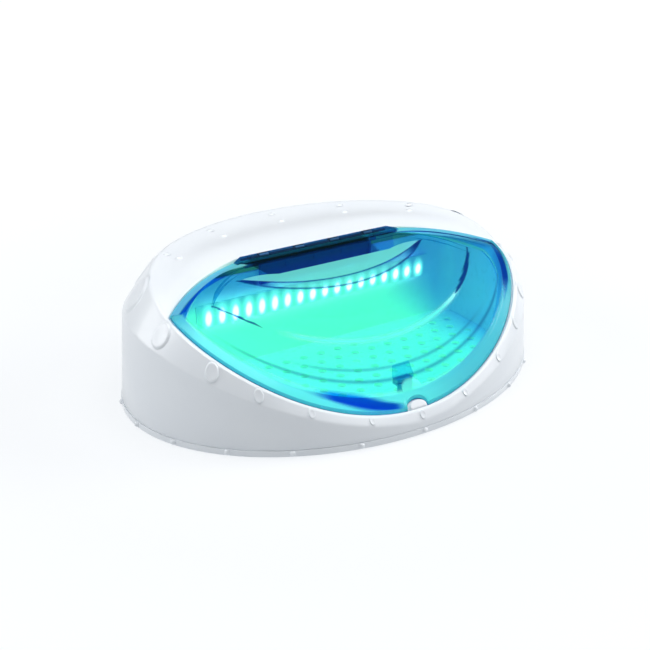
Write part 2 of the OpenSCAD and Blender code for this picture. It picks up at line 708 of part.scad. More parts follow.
module lid_switch() {
    color(dark) translate([plunger_x, plunger_y, floor_z + 0.4]) {
        translate([-6.4, -2.7, 0]) cube([12.8, 5.4, 2.8]);
        cylinder(r = 1.1, h = 3.2, $fn = 28);
    }
}

// ---- Electronics ---------------------------------------------------------------

module control_board() {
    color(board_green) difference() {
        translate([-46, 28, board_z]) cube([92, 46, 1.6]);
        for (p = board_screw_places) translate([p.x, p.y, 0]) cylinder(r = 1.6, h = 20, $fn = 28);
    }
}

module board_components() {
    translate([0, 0, board_z + 1.6]) {
        color(dark) translate([-30, 36, 0]) cube([20, 16, 14]);
        color(dark) translate([10, 34, 0]) cube([10, 10, 1.4]);
        color([0.15, 0.2, 0.35]) for (x = [0, 12]) translate([x, 60, 0])
            cylinder(d = 8, h = 12, $fn = 32);
        color([0.9, 0.9, 0.85]) translate([22, 62, 0]) cube([12, 7, 8]);
        color(dark) translate([28, 44, 0]) cylinder(d = 12, h = 8, $fn = 40);
    }
}

module board_screws() {
    color(steel) for (p = board_screw_places) translate([p.x, p.y, board_z + 3.2])
        mirror([0, 0, 1]) screw(2.5, 1.6, 1.2, 6.2);
}

module dc_inlet() {
    color(dark) translate([0, 0, inlet_z]) difference() {
        union() {
            translate([-4.5, 80.5, -5.6]) cube([9, 11.2, 11.2]);
            translate([0, 91.6, 0]) rotate([-90, 0, 0]) cylinder(d = 9, h = inlet_out - 91.6, $fn = 40);
            translate([0, 96.1, 0]) rotate([-90, 0, 0])
                cylinder(d = 11.6, h = inlet_out - 96.1, $fn = 40);
        }
        translate([0, inlet_out + 0.1, 0]) rotate([90, 0, 0]) cylinder(d = 6.2, h = 10, $fn = 40);
    }
    color(steel) translate([0, 87, inlet_z]) rotate([-90, 0, 0]) cylinder(d = 2, h = 9.5, $fn = 24);
}

base_plate();
rubber_feet();
base_screws();
outer_housing();
chamber_tub();
phone_tray();
led_board();
leds();
led_lens();
hinge_cover();
hinge_bracket();
hinge_screws();
hinge_pin();
lid();
lid_hinge_strip();
lid_catch();
lid_magnet();
catch_plate();
lid_bumpers();
start_button();
button_spring();
button_switch();
button_board();
lid_switch_plunger();
lid_switch_spring();
lid_switch();
control_board();
board_components();
board_screws();
dc_inlet();
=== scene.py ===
"""Looks of the phone sanitizer box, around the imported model.

The shape functions work in millimetres, as the part's own source does, and build()
brings their points to metres. X runs left to right, -Y is the front, +Z is up.
"""
from math import asin, atan2, cos, degrees, pi, radians, sin, sqrt

import bpy
import numpy as np
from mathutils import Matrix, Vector


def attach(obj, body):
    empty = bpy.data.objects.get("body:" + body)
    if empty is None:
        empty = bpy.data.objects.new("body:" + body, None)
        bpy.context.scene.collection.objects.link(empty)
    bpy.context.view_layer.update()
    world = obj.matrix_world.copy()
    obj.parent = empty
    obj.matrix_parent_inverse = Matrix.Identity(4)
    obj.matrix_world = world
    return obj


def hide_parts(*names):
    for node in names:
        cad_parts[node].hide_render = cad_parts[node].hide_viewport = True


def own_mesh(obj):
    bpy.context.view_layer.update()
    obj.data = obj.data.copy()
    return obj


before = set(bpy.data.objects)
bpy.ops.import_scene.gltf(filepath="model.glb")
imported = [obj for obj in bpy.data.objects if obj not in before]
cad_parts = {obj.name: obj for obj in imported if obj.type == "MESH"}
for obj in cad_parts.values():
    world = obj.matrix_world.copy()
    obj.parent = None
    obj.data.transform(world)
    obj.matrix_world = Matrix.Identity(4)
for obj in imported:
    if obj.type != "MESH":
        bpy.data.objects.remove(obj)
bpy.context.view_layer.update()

MM = 0.001

# ---- Driving dimensions, in millimetres ------------------------------------------

HALF_L, HALF_D = 130.0, 96.0       # half axes of the oval foot
CREST_H, CREST_SHARE = 79.0, 0.81  # crest at the back: height, share of the foot's oval
WALL_FRONT_H, WALL_RISE, WALL_LEAN = 8.6, 46.5, 0.0006
BASE_Z, SEAM_Z = 1.0, 4.5          # underside of the base, parting line above it
SKIN = 2.6
TIP = (109.5, -15.0, 66.0)         # the lid's tip
FRONT = (-89.0, 15.0)              # the lid's front edge: place, height
CORNER = (48.0, 18.0, 77.0)        # end of the hinge edge
BULGE = 5.5                        # of the opening between tip and hinge corner
RIM_QUAD = 33.0                    # share of the rim's rise that grows with the square
RIM_LINE = TIP[2] - FRONT[1] - RIM_QUAD
LID_T, LID_GAP, LID_PROUD = 2.6, 1.0, 1.4
HINGE_ROOM = 1.2                   # extra gap at the ends of the hinge edge
LAND, LAND_DROP = LID_GAP + 2, 0.2
LEDGE_W, LEDGE_DROP = 8.0, 3.6
NOTCH_R, NOTCH_FLAT, NOTCH_Y = 6.8, 0.5, FRONT[0] + 0.3
TUB_TIP_X, TUB_FRONT_Y, TUB_BACK_Y, TUB_T, TUB_Z = 102.5, -81.5, 19.0, 1.5, 5.0
TUB_WIDE_Y, TUB_CORNER_R, TUB_FOOT_R = -16.0, 10.0, 3.0
LED_COUNT, LED_PITCH, LED_Z = 18, 8.7, 46.5
LED_WALL_Y = TUB_BACK_Y - TUB_T
LED_FIRST_X = -(LED_COUNT - 1) / 2 * LED_PITCH
LENS_HALF, LENS_HIGH, LENS_FRONT, LENS_BACK = 81.0, 7.0, 4.6, 3.6
LENS_OVAL, LENS_DIP = (3.2, 5.6), 0.55    # half axes of its bulges, depth of the dips between them
CROWN, DECK_WAVE, DECK_PLAIN = 0.07, 0.03, 2.0    # swell of the band, relief of the deck
OVAL_COUNT, OVAL_SHARE = 22, 0.55  # raised ovals, and where they lie across the band
BEAD_COUNT, BEAD_R, BEAD_Z = 21, 1.7, 2.8
BUTTON_R, TAB_DEPTH, BUTTON_Y = 5.4, 2.5, FRONT[0] - 0.4
TAB_FRONT, TAB_FRONT_Z, TAB_SLOPE = 0.8, 14.6, 0.9
FLANGE_R, FLANGE_FRONT, FLANGE_Z, FLANGE_TOP = 7.3, 1.8, 8.0, 9.2
POCKET_R, POCKET_Z = 3.4, 8.45     # room for the switch below the button
BUTTON_SPRING, PLUNGER_SPRING = (0, -86.6), (24, -83.5)
SPRING_WIRE, PRESS = 0.2, 1.2      # the wire's radius, and how far each spring is pressed


# ---- Shared shapes -----------------------------------------------------------------

def sind(a):
    return sin(radians(a))


def cosd(a):
    return cos(radians(a))


def lerp(a, b, t):
    return a + (b - a) * t


def vec(*values):
    return np.array(values, float)


def unit(v):
    return v / max(np.linalg.norm(v), 1e-6)


def bend(p, c, q, t):
    """A point of the curve that goes from p to q and is pulled towards c."""
    return lerp(lerp(p, c, t), lerp(c, q, t), t)


def smooth(a, b, x):
    """Rises from 0 at a to 1 at b, for numbers and arrays."""
    t = np.clip((x - a) / (b - a), 0, 1)
    return t * t * (3 - 2 * t)


def bell(x, width):
    """A rounded peak at x = 0."""
    return np.exp(-(x / width) ** 2)


def rim_z(y):
    """Height of the lid's rim where its front-to-back place is y."""
    if y < TIP[1]:
        c = (TIP[1] - y) / (TIP[1] - FRONT[0])
        return TIP[2] - RIM_QUAD * c * c - RIM_LINE * c
    return lerp(TIP[2], CORNER[2], (y - TIP[1]) / (CORNER[1] - TIP[1]))


def leaf(st, tip, front_y, corner, bulge):
    """A point of a leaf-shaped outline, on the right-hand side. st is (stretch, place):
    0 the front arc, 1 from tip to hinge corner, 2 along the hinge edge."""
    stretch, t = st
    if stretch == 0:
        return vec(tip[0] * sind(t), tip[1] - (tip[1] - front_y) * cosd(t))
    if stretch == 1:
        a, b = vec(*tip), vec(*corner)
        out = unit(vec(b[1] - a[1], a[0] - b[0]))
        return lerp(a, b, t) + out * 4 * bulge * t * (1 - t)
    return vec(corner[0] * (1 - t), corner[1])


def half_ring(front, side, back, notch=0):
    """Stations from the front middle along the right side to the back middle."""
    start = degrees(asin(NOTCH_R / TIP[0])) if notch else 0
    stations = [(0, degrees(asin(sind(start) * sind(90 * i / notch)))) for i in range(notch)]
    stations += [(0, lerp(start, 90, i / front)) for i in range(front)]
    stations += [(1, i / side) for i in range(side)]
    stations += [(2, i / back) for i in range(back + 1)]
    return stations


def full_ring(half):
    """The same stations on both sides, as (side, station)."""
    return [(1, st) for st in half] + [(-1, st) for st in half[-2:0:-1]]


# ---- Housing -------------------------------------------------------------------------

TIP_SHARE = float(np.hypot((TIP[0] + LAND) / HALF_L, TIP[1] / HALF_D))
TIP_PHI = degrees(atan2((TIP[0] + LAND) / HALF_L, -TIP[1] / HALF_D))
CORNER_PHI = 140.0


def wall_z(phi):
    """Height of the upright wall at an angle from the front."""
    return WALL_FRONT_H + WALL_RISE * sind(min(90, 0.912 * phi)) ** 1.62


def wall_point(phi, z, inset=0.0):
    """A point of the upright wall, which leans in a little, at an angle from the front."""
    k = 1 - WALL_LEAN * z
    return vec((HALF_L * k - inset) * sind(phi), -(HALF_D * k - inset) * cosd(phi), z)


def crest_point(phi):
    """The crest at an angle from the front; it ends at the lid's tip."""
    u = (1 + cosd(phi)) / (1 + cosd(TIP_PHI))
    k = lerp(CREST_SHARE, TIP_SHARE, u * u)
    tip_z = TIP[2] - LID_PROUD - LAND_DROP
    return vec(k * HALF_L * sind(phi), -k * HALF_D * cosd(phi), CREST_H - (CREST_H - tip_z) * u ** 3.6)


def station_phi(st):
    """The angle from the front at which a station's section stands on the foot."""
    stretch, t = st
    if stretch == 0:
        return TIP_PHI * t / 90
    return lerp(TIP_PHI, CORNER_PHI, t) if stretch == 1 else lerp(CORNER_PHI, 180, t)


def rim_point(st):
    """The lid's rim, seen from above."""
    return leaf(st, TIP[:2], FRONT[0], CORNER[:2], BULGE)


def edge_point(st):
    """The housing's edge around the lid."""
    tip, corner = (TIP[0] + LID_GAP, TIP[1]), (CORNER[0] + HINGE_ROOM, CORNER[1] + LID_GAP)
    p = leaf(st, tip, FRONT[0] - LID_GAP, corner, BULGE)
    return vec(*p, rim_z(rim_point(st)[1]) - LID_PROUD)


def band_top(st):
    """Top of the sloped band: a narrow land in front of the lid, the crest behind it."""
    if st[0] > 0:
        return crest_point(station_phi(st))
    p = leaf(st, (TIP[0] + LAND, TIP[1]), FRONT[0] - LAND, (0, 0), 0)
    return vec(*p, rim_z(rim_point(st)[1]) - LID_PROUD - LAND_DROP)


def deck_relief(width, s):
    """Soft ridge near the lid, then a hollow before the crest."""
    return DECK_WAVE * max(0, width - DECK_PLAIN) * (0.4 * sind(180 * s) + sind(360 * s))


def deck_point(st, s):
    """The deck between the housing's edge (s = 0) and the crest (s = 1)."""
    e, c = edge_point(st), band_top(st)
    return lerp(e, c, s) + vec(0, 0, deck_relief(np.linalg.norm(c - e), s))


def band_crown(length, share):
    """How far the sloped band swells out where its width is length."""
    return CROWN * length * share * (1 - share)


def outer_side(st, phi, wz):
    """Section of the housing from its foot over the wall, band, crest and deck to its edge."""
    w, c, e = wall_point(phi, wz), band_top(st), edge_point(st)
    up, wide = unit(c - w), np.linalg.norm(c - e)
    r, lip = min(2.5, 0.4 * wide), min(0.7, 0.25 * wide)
    s_top, s_low = 1 - r / wide, lip / wide
    soft, foot_z = 1.2, SEAM_Z + 0.4
    band_in, band_out = w + soft * up, c - min(r, 1.5) * up
    length = np.linalg.norm(band_out - band_in)
    points = [wall_point(phi, SEAM_Z + z, inset) for z, inset in ((0.05, 0.5), (0.12, 0.15))]
    points += [wall_point(phi, lerp(foot_z, wz - soft, t)) for t in (0, 0.33, 0.66)]
    points += [bend(wall_point(phi, wz - soft), w, band_in, t) for t in np.linspace(0, 1, 7)]
    for t in np.linspace(0, 1, 8)[1:]:
        points.append(lerp(band_in, band_out, t) + vec(0, 0, band_crown(length, t)))
    points += [bend(band_out, c, deck_point(st, s_top), t) for t in np.linspace(0, 1, 7)[1:]]
    points += [deck_point(st, t) for t in np.linspace(s_top, s_low, 18)[1:]]
    points += [bend(deck_point(st, s_low), e, e - vec(0, 0, lip), t) for t in (0.25, 0.5, 0.75, 1)]
    return points


def inner_side(st, phi, wz):
    """The rest of the section: the ledge under the lid's rim and the inside of the wall."""
    fade = (0, st[1], 1)[st[0]]
    e, c = edge_point(st), band_top(st)
    ledge_corner = (CORNER[0] + 0.5, CORNER[1] + 1.2)
    lx, ly = leaf(st, (TIP[0] - LEDGE_W, TIP[1] - 1), FRONT[0] + LEDGE_W, ledge_corner, BULGE)
    ledge = vec(lx, ly, rim_z(ly) - LEDGE_DROP - 1.2 * fade)
    ledge_z = rim_z(rim_point(st)[1]) - LEDGE_DROP
    return [
        vec(e[0], e[1], lerp(ledge_z, e[2] - 2.2, fade)),
        ledge,
        ledge + vec(0, 0.8 * fade, lerp(-1.8, -0.6, fade)),
        vec(e[0], e[1] + 2.6 * fade, lerp(ledge_z - 1.8, e[2] - SKIN, fade)),
        deck_point(st, 0.5) - vec(0, 0, SKIN + 0.1),
        lerp(c, e, min(0.3, 1.5 / np.linalg.norm(c - e))) - vec(0, 0, 3),
        wall_point(phi, wz - 2.2, SKIN + 0.4),
        wall_point(phi, SEAM_Z + 0.05, SKIN),
    ]


def housing_section(st):
    """The closed section of the housing at a station."""
    phi = station_phi(st)
    wz = wall_z(phi)
    return outer_side(st, phi, wz) + inner_side(st, phi, wz)


def oval_phi(k):
    """Angle of the k-th oval: they lie further apart towards the housing's two ends."""
    t = 360 * k / OVAL_COUNT
    return t - 6.5 * sind(2 * t) + 3 * sind(4 * t) - 1.5 * sind(6 * t)


def band_at(phi):
    """Top of the band at an angle from the front."""
    return band_top((0, 90 * phi / TIP_PHI)) if phi < TIP_PHI else crest_point(phi)


def band_surface(angle, share):
    """A point of the sloped band, at any angle; share is 0 at the wall and 1 at the crest."""
    a = abs((angle + 180) % 360 - 180)
    side = 1 if (angle + 180) % 360 >= 180 else -1
    w, c = wall_point(a, wall_z(a)), band_at(a)
    p = lerp(w, c, share) + vec(0, 0, band_crown(np.linalg.norm(c - w), share))
    return p * vec(side, 1, 1)


def band_steps(phi):
    """Outward normal of the band at its ovals, and its size per degree and per share."""
    around = band_surface(phi + 0.5, OVAL_SHARE) - band_surface(phi - 0.5, OVAL_SHARE)
    slope = (band_surface(phi, OVAL_SHARE + 0.02) - band_surface(phi, OVAL_SHARE - 0.02)) / 0.04
    return unit(np.cross(around, slope)), np.linalg.norm(around), np.linalg.norm(slope)


PAD_RINGS = (1.12, 1.04, 0.99, 0.95, 0.9, 0.84, 0.76, 0.64, 0.48, 0.3, 0.12)


def pad_height(r, h):
    """Raised rim with a rounded shoulder and a slightly dished middle."""
    shoulder = 1 - smooth(0.86, 1.05, r)
    return h * (shoulder - 0.28 * (1 - smooth(0.2, 0.8, r))) - 0.12


# ---- Meshes ----------------------------------------------------------------------------

def build(name, points, faces, material, body, replaced=(), sharp=40):
    """A mesh piece from points in millimetres. It rides on body and stands for the replaced nodes."""
    mesh = bpy.data.meshes.new(name)
    mesh.from_pydata([tuple(float(v) * MM for v in p) for p in points], [], faces)
    mesh.validate()
    mesh.polygons.foreach_set("use_smooth", [True] * len(mesh.polygons))
    mesh.set_sharp_from_angle(angle=radians(sharp))
    mesh.materials.append(material)
    piece = bpy.data.objects.new(name, mesh)
    bpy.context.scene.collection.objects.link(piece)
    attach(piece, body)
    if replaced:
        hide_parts(*replaced)
    return piece


def grid_faces(rows, columns, wrap_rows=False, wrap_columns=False, start=0):
    """Quads between the points of a rows by columns grid, stored row by row."""
    faces = []
    for i in range(rows if wrap_rows else rows - 1):
        for j in range(columns if wrap_columns else columns - 1):
            a, b = i * columns + j, i * columns + (j + 1) % columns
            c, d = (i + 1) % rows * columns + (j + 1) % columns, (i + 1) % rows * columns + j
            faces.append((start + a, start + b, start + c, start + d))
    return faces


def flip(faces):
    return [tuple(reversed(f)) for f in faces]


def add_pad(points, faces, grid):
    """Adds one closed pad: rings of points from the outside in."""
    start, segments = len(points), len(grid[0])
    points += [p for ring in grid for p in ring]
    faces += grid_faces(len(grid), segments, wrap_columns=True, start=start)
    last = start + (len(grid) - 1) * segments
    faces.append(tuple(last + k for k in range(segments)))
    faces.append(tuple(start + k for k in reversed(range(segments))))


def add_oval(points, faces, phi):
    """One raised oval that follows the band."""
    a = abs((phi + 180) % 360 - 180)
    length = np.linalg.norm(band_at(a) - wall_point(a, wall_z(a)))
    behind = smooth(90, 130, a)
    half_w, half_l = max(1.6, 0.34 * length), lerp(0.45, 0.34, behind) * length
    height = (0.5 + 0.035 * length) * (1 - 0.6 * behind)
    normal, per_degree, per_share = band_steps(phi)
    grid = []
    for r in PAD_RINGS:
        row = []
        for t in np.linspace(0, 2 * pi, 40, endpoint=False):
            along, across = half_w * r * cos(t) / per_degree, half_l * r * sin(t) / per_share
            row.append(band_surface(phi + along, OVAL_SHARE + across) + normal * pad_height(r, height))
        grid.append(row)
    add_pad(points, faces, grid)


def deck_bumps():
    """Places of the small bumps on the deck, in pairs, as (side, station, share)."""
    for s in (0.66, 0.88):
        yield 1, (2, 1.0), s
        for side in (1, -1):
            yield side, (1, 0.74), s
            yield side, (2, 0.32), s


def add_deck_bump(points, faces, side, st, s):
    """A small, low bump on the deck."""
    centre = deck_point(st, s) * vec(side, 1, 1)
    grid = []
    for r in PAD_RINGS[::2]:
        high = 1.0 * (1 - smooth(0.35, 1.1, r)) - 0.05
        grid.append([centre + vec(2.6 * r * cos(t), 1.9 * r * sin(t), high)
                     for t in np.linspace(0, 2 * pi, 24, endpoint=False)])
    add_pad(points, faces, grid)


def outer_housing(material):
    """The white housing, with its raised ovals and the bumps on its deck."""
    ring = full_ring(half_ring(90, 44, 30))
    sections = [[p * vec(side, 1, 1) for p in housing_section(st)] for side, st in ring]
    points = [p for section in sections for p in section]
    faces = flip(grid_faces(len(sections), len(sections[0]), True, True))
    for k in range(OVAL_COUNT):
        add_oval(points, faces, oval_phi(k))
    for side, st, s in deck_bumps():
        add_deck_bump(points, faces, side, st, s)
    build("outer_housing_shell", points, faces, material, "housing", ["outer_housing"],
          sharp=50)


def add_bead(points, faces, angle):
    """A round bead, sunk a little into the foot."""
    centre = vec((HALF_L - 0.2) * sind(angle), -(HALF_D - 0.2) * cosd(angle), BEAD_Z)
    out = unit(vec(HALF_D * sind(angle), -HALF_L * cosd(angle), 0))
    side = vec(-out[1], out[0], 0)
    grid = []
    for lat in np.linspace(-70, 82, 12):
        axis, r = centre + out * BEAD_R * sind(lat), BEAD_R * cosd(lat)
        turns = np.linspace(0, 2 * pi, 24, endpoint=False)
        grid.append([axis + side * r * cos(t) + vec(0, 0, r * sin(t)) for t in turns])
    add_pad(points, faces, grid)


FOOT_PROFILE = ((-1.2, 0.02), (-0.35, 0.02), (-0.1, 0.12), (0.04, 0.35), (0.06, 1.4), (0.06, 2.9), (0.0, 3.2),
                (-0.3, 3.36), (-1.2, 3.36))    # outwards of the foot's outline, above the base's underside


def foot_band(material, steps=360):
    """The visible edge of the base under the parting line, with its beads."""
    points = []
    for a in np.linspace(0, 360, steps, endpoint=False):
        for out, up in FOOT_PROFILE:
            points.append(vec((HALF_L + out) * sind(a), -(HALF_D + out) * cosd(a), BASE_Z + up))
    faces = flip(grid_faces(steps, len(FOOT_PROFILE), True, True))
    for i in range(BEAD_COUNT):
        add_bead(points, faces, 360 * i / BEAD_COUNT)
    build("foot_band", points, faces, material, "housing")


# ---- Lid ---------------------------------------------------------------------------------

# Rings of the lid from its rim to its middle: tip x, tip y, front y, half axis of the
# front arc, corner x, corner y, bulge, height above the rim in front and behind, and how
# far the ring clears the notch.
LID_RINGS = (
    (109.5, -15, -89, 109.5, 56.5, 13.5, 4.3, 0, 0, 0),
    (104.1, -16, -85.4, 104.1, 54.6, 10.2, 4.2, 0.2, 0.2, 2.6),
    (102.1, -16.5, -83.8, 102.1, 53.8, 9.6, 4.2, 1.3, 1.3, 5),
    (100.9, -16.4, -78.9, 100.9, 53.4, 9.3, 4.1, 1.5, 1.5, 0),
    (100.2, -16.2, -77.7, 100.2, 53.2, 9.1, 4.1, 2.3, 1.5, 0),
    (98.8, -15.6, -74.3, 98.8, 52.6, 8.9, 4, 2.3, 1.5, 0),
    (97.9, -15.2, -73.1, 97.9, 52.3, 8.7, 4, 3, 1.5, 0),
    (89.5, -20, -61.6, 99.5, 50.5, 8, 4, 2.7, 1.3, 0),
    (88, -19.5, -60.2, 98, 50, 7.8, 4, 3.5, 1.3, 0),
    (80, -8, -47, 86, 48, 6.4, 3.5, 2.9, 1.1, 0),
    (72, -4, -35, 82, 46, 2.6, 3, 2.1, 0.9, 0),
    (64.8, -2.5, -25.8, 111, 43, -2.6, 1.5, 1.2, 0.9, 0),
    (63.5, -2.9, -24.5, 110, 42, -3.4, 1.4, 1.8, 1.5, 0),
    (61.6, -3.3, -19.3, 150, 39, -4.6, 1.3, 1.8, 1.5, 0),
    (60.4, -3.6, -18.1, 150, 38, -5.4, 1.3, 2.2, 1.9, 0),
    (40, -7, -14.5, 80, 27, -7.4, 0.2, 2.1, 1.9, 0),
)
LID_MIDDLE = (0.0, -10.6, 1.9)
LID_STEPS = (6, 6, 6, 5, 5, 5, 14, 6, 14, 12, 12, 5, 5, 5, 14, 10)   # rows between the rings
ARC_C_LOW, ARC_C_TOP, ARC_B, CRESCENT_LOW, CRESCENT_TOP = 3.5, 5.5, 7.5, 11.5, 13.5


def front_arc(t, ring):
    """The front of a ring: the part of an ellipse that ends at the ring's tip."""
    tip_x, tip_y, front_y, half = ring[:4]
    x = tip_x * sind(t)
    drop = (tip_y - front_y) / (1 - sqrt(max(0, 1 - (tip_x / half) ** 2)))
    return x, front_y + drop * (1 - sqrt(max(0, 1 - (x / half) ** 2)))


def lid_point(st, ring):
    """A ring's point on the right-hand side: its place, and its height above the rim's slope."""
    if st[0] == 0:
        x, y = front_arc(st[1], ring)
    else:
        x, y = leaf(st, ring[0:2], ring[2], ring[4:6], ring[6])
    reach = NOTCH_R + ring[9]
    if st[0] == 0 and x < reach:
        y = max(y, NOTCH_Y + NOTCH_FLAT * sqrt(reach * reach - x * x))
    front_share = 1 - (1 - cosd(st[1])) ** 3 if st[0] == 0 else 0
    return vec(x, y, lerp(ring[8], ring[7], front_share))


def lid_column(st):
    """One line of the lid's top from rim to middle, with its place among the rings."""
    knots = [lid_point(st, ring) for ring in LID_RINGS] + [vec(*LID_MIDDLE)]
    points, places = [], []
    for i, count in enumerate(LID_STEPS):
        for t in np.linspace(0, 1, count, endpoint=False):
            x, y = lerp(knots[i][:2], knots[i + 1][:2], t)
            points.append(vec(x, y, lerp(knots[i][2], knots[i + 1][2], smooth(0, 1, t))))
            places.append(i + t)
    return points, places


def step_lines(side, across, past):
    """Painted shade of the steps in front: dark lines along them, and dark blades that fill them near their
    ends.
    """
    low, top = past(CRESCENT_LOW), past(CRESCENT_TOP)
    middle = 1 - smooth(56, 63, across)
    lines = 0.55 * bell(past(ARC_C_LOW), 0.55) * (1 - smooth(78, 98, across))
    lines = np.maximum(lines, 0.45 * bell(past(ARC_C_TOP), 0.5) * (1 - smooth(40, 75, across)))
    lines = np.maximum(lines, 0.9 * bell(low, 0.5) * middle)
    lines = np.maximum(lines, 0.9 * bell(top, 0.5) * middle)
    between = smooth(-0.3, 0.3, low) * (1 - smooth(-0.3, 0.3, top))
    lines = np.maximum(lines, between * smooth(42, 56, across))
    start, end, thick = (54, 89, 1.4) if side > 0 else (68, 90, 0.8)
    along = np.clip((across - start) / (end - start), 0, 1)
    wide = thick * 4 * along * (1 - along) + 0.02
    blade = (wide > 0.1) * smooth(1.2, 0.75, np.abs(past(ARC_B) - 3 * along) / wide)
    return np.maximum(lines, blade), between


def front_painted_shadow(side, front_t, x, inside):
    """Painted deep blue shadow between rim and step, low in front; and a stripe of painted blue shade at the
    right-hand end.
    """
    middle, half = lerp(0.4, 4.6, smooth(2, -52, x)), 0.5 + 1.7 * bell(x + 32, 22)
    ends = smooth(-64, -46, x) * (1 - smooth(-14, -4, x))
    blue = ends * smooth(1.7, 0.6, np.abs(inside - middle) / half)
    right = smooth(50, 68, front_t) * (1 - 0.6 * smooth(76, 90, front_t)) if side > 0 else 0.0
    stripe = right * smooth(1.25, 0.85, np.abs(inside - 4.2) / (2.0 * right + 0.01))
    return np.maximum(blue, stripe), stripe


def front_marks(side, front_t, x, inside, past):
    """Marks in front of the tips: painted dark step lines, the crescent's haze with its painted glow, the
    flange's painted glow, and painted blue shade.
    """
    across = abs(x)
    lines, between = step_lines(side, across, past)
    # painted light line along the middle step, as haze and glow
    line_b = bell(past(ARC_B), 1.1) * (1 - smooth(50, 66, across))
    haze_and_glow = np.maximum(smooth(-0.2, 0.6, past(CRESCENT_TOP)), between * 0.4 * (1 - smooth(38, 52, across)))
    haze_and_glow = np.maximum(haze_and_glow, 0.4 * line_b)
    # painted glow on the flange, in place of the lamps' light, most on the left
    glow = (1 - smooth(5.4, 7.0, inside)) * lerp(0.85, 0.6, smooth(-10, 45, x))
    glow = glow * (1 - (0.8 if side > 0 else 0.3) * smooth(70, 88, front_t))
    blue, stripe = front_painted_shadow(side, front_t, x, inside)
    return np.maximum(lines, 0.6 * stripe), haze_and_glow, np.maximum(glow, 0.9 * line_b), blue


def side_marks(side, rear_t, inside, body):
    """Marks from a tip to the hinge: the crescent's haze, a hazy rim with a painted glow, and a stripe of
    painted blue shade beside it.
    """
    width = 5 + 4 * smooth(0.6, 1.0, rear_t) if side < 0 else 7.5
    haze_and_glow = np.maximum(body, 0.9 * (1 - smooth(width - 0.6, width + 0.6, inside)))
    if side < 0:
        off = np.abs(inside - 7.2 - 1.5 * rear_t) / (1.8 + rear_t)
        return haze_and_glow, (1 - smooth(0.6, 0.9, rear_t)) * smooth(1.3, 0.8, off)
    near_tip = (1 - smooth(0.0, 0.3, rear_t)) * smooth(1.2, 0.8, np.abs(inside - 4.2) / 1.2)
    return haze_and_glow, np.maximum(0.5 * bell(inside - 8.4, 1.1), near_tip)


def lid_marks(side, st, x, inside, past):
    """Painted light and shade of the pressed steps along one column: painted dark lines, how milky
    the plastic is with the painted glow of its haze, the painted glow of the lamps' light, and painted
    blue shade. inside is the distance from the rim, past(ring) the distance beyond a ring."""
    dark, haze_and_glow, glow, blue = np.zeros((4, len(inside)))
    body = smooth(-0.2, 0.6, past(CRESCENT_TOP))
    if st[0] == 0:
        dark, haze_and_glow, glow, blue = front_marks(side, st[1], x, inside, past)
    elif st[0] == 1:
        haze_and_glow, blue = side_marks(side, st[1], inside, body)
    else:
        # along the hinge edge: painted dark shade over the hinge box, painted blue shade elsewhere
        over_box = smooth(-50, -47, x) * (1 - smooth(30, 33, x))
        dark, haze_and_glow, blue = 0.8 * (1 - body) * over_box, body, 0.4 * (1 - body) * (1 - over_box)
    return np.stack([dark, haze_and_glow, glow, blue], -1)


def lid_rim(column):
    """Rounds the rim: points from the under side's edge up to the top's."""
    outer, inner = column[0], unit(column[1] - column[0]) * vec(1, 1, 0)
    return [outer + inner * 0.5 - vec(0, 0, LID_T), outer + inner * 0.15 - vec(0, 0, LID_T - 0.15),
            outer - vec(0, 0, LID_T - 0.5), outer - vec(0, 0, LID_T - 0.8), outer - vec(0, 0, 0.6),
            outer + inner * 0.15 - vec(0, 0, 0.2)]


def lid_shell(material):
    """The lid: two skins joined round its rim, with the painted light and shade of its steps as colours."""
    points, marks = [], []
    ring = full_ring(half_ring(84, 44, 30, notch=14))
    for side, st in ring:
        column, places = lid_column(st)
        plan = np.array(column)
        inside = np.concatenate([[0], np.cumsum(np.linalg.norm(np.diff(plan[:, :2], axis=0), axis=1))])
        x = side * plan[:, 0]
        mark = lid_marks(side, st, x, inside, lambda place: inside - np.interp(place, places, inside))
        top = [p + vec(0, 0, rim_z(p[1])) for p in column]
        top[0] = top[0] + unit(top[1] - top[0]) * 0.4
        under = [p + vec(0, 0, rim_z(p[1]) - LID_T) for p in column[:0:-1]]
        rim = [p + vec(0, 0, rim_z(column[0][1])) for p in lid_rim(column)]
        points += [p * vec(side, 1, 1) for p in under + rim + top]
        # painted shade on the lower half of the rim, a painted highlight and glow on its upper half
        plain, edge = np.zeros((len(under) + len(rim), 4)), len(under) + len(rim) // 2
        plain[len(under):edge, 0] = 0.9
        plain[edge:, 1:3] = (0.3, 0.6)
        marks.append(np.concatenate([plain, mark]))
    count, rows = len(ring), len(points) // len(ring)
    faces = flip(grid_faces(count, rows, wrap_rows=True))
    faces.append(tuple(i * rows for i in range(count)))
    faces.append(tuple(i * rows + rows - 1 for i in reversed(range(count))))
    piece = build("lid_shell", points, faces, material, "lid", ["lid"], sharp=60)
    shade = piece.data.attributes.new("pressed", "FLOAT_COLOR", "POINT")
    shade.data.foreach_set("color", np.concatenate(marks).astype(np.float32).ravel())


# ---- Chamber -------------------------------------------------------------------------------

